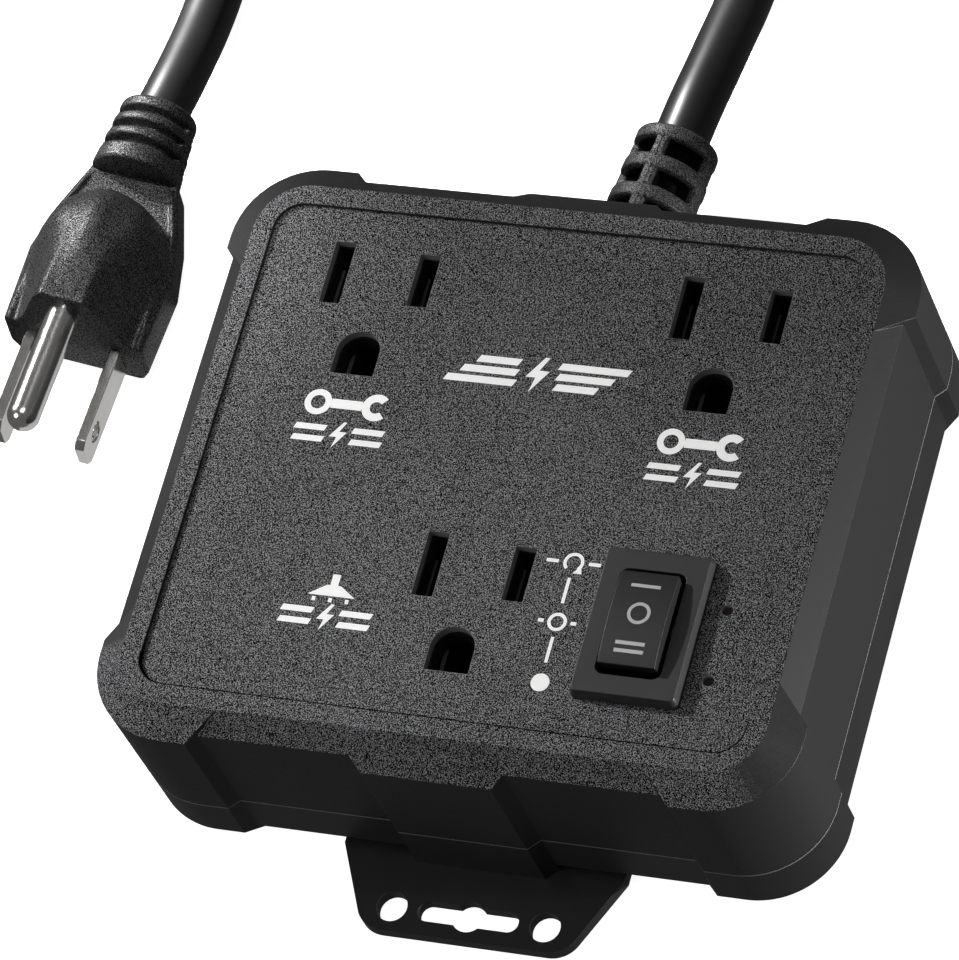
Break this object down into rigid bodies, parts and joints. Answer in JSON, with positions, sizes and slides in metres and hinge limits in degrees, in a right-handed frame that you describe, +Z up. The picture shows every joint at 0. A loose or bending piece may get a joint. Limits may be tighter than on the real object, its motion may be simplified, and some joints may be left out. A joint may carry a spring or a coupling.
{
  "type": "power strip",
  "caption": "Switched grounded power box with a rocker switch, mounting tabs and a coiled mains lead with a three-pin plug.",
  "frame": {"origin": "middle of the box, without its lead, on the surface it lies on", "axes": "+Z up through the outlet face, +Y towards the wall where the lead leaves, +X to the right seen from the tab"},
  "size_m": [0.1409, 0.2661, 0.0376],
  "materials": {
    "cover_plastic": "fine spark-eroded texture",
    "tray_plastic": "satin",
    "switch_frame_plastic": "satin",
    "rocker_plastic": "satin",
    "inner_plastic": "matte",
    "white_plastic": "satin",
    "screw_steel": "zinc plated",
    "contact_brass": "bright",
    "contact_copper": "bright",
    "terminal_tin": "tinned",
    "board_green": "solder mask",
    "relay_case": "gloss",
    "core_yellow": "taped core",
    "capacitor_yellow": "matte",
    "chip_black": "matte",
    "led_clear": "clear",
    "relief_rubber": "matte",
    "wire_black": "satin",
    "wire_white": "satin",
    "wire_green": "satin",
    "cord_black": "satin",
    "tie_black": "matte",
    "plug_rubber": "fine texture",
    "pin_nickel": "nickel plated"
  },
  "bodies": {
    "box": {"top_cover": "cover_plastic", "bottom_cover": "tray_plastic", "cover_screws": "screw_steel", "receptacle_left": "inner_plastic", "receptacle_right": "inner_plastic", "receptacle_vac": "inner_plastic", "tool_retainer": "inner_plastic", "vac_retainer": "inner_plastic", "retainer_screws": "screw_steel", "neutral_bus": "contact_brass", "tool_hot_bus": "contact_brass", "ground_bus": "contact_brass", "vac_neutral_contact": "contact_brass", "vac_hot_contact": "contact_brass", "switch_body": "switch_frame_plastic", "switch_terminals": "terminal_tin", "circuit_board": "board_green", "board_screws": "screw_steel", "relay": "relay_case", "current_transformer": "core_yellow", "supply_capacitor": "capacitor_yellow", "controller_chip": "chip_black", "led_board": "board_green", "indicator_leds": "led_clear", "strain_relief": "relief_rubber", "hot_lead": "wire_black", "neutral_lead": "wire_white", "ground_lead": "wire_green", "tool_lead": "wire_black", "board_neutral_lead": "wire_white", "switch_leads": "wire_black", "led_lead": "wire_black", "cord_lead": "cord_black", "cord_coil": "cord_black", "cord_tail": "cord_black", "cord_tie": "tie_black", "plug_body": "plug_rubber", "plug_hot_blade": "pin_nickel", "plug_neutral_blade": "pin_nickel", "plug_ground_pin": "pin_nickel"},
    "rocker": {"switch_rocker": "rocker_plastic", "rocker_plunger": "white_plastic"},
    "contact_arm": {"switch_contact_arm": "contact_copper"}
  },
  "joints": [
    {"name": "rocker_tilt", "type": "hinge", "parent": "box", "child": "rocker", "pos_m": [0.0256, -0.0209, 0.0332], "axis": [1, 0, 0], "range_deg": [-10, 10]},
    {"name": "contact_arm_rock", "type": "hinge", "parent": "box", "child": "contact_arm", "pos_m": [0.0256, -0.0209, 0.0206], "axis": [1, 0, 0], "range_deg": [-5, 5]}
  ],
  "couplings": [
    {"joint": "contact_arm_rock", "follows": "rocker_tilt", "ratio": -0.5}
  ]
}
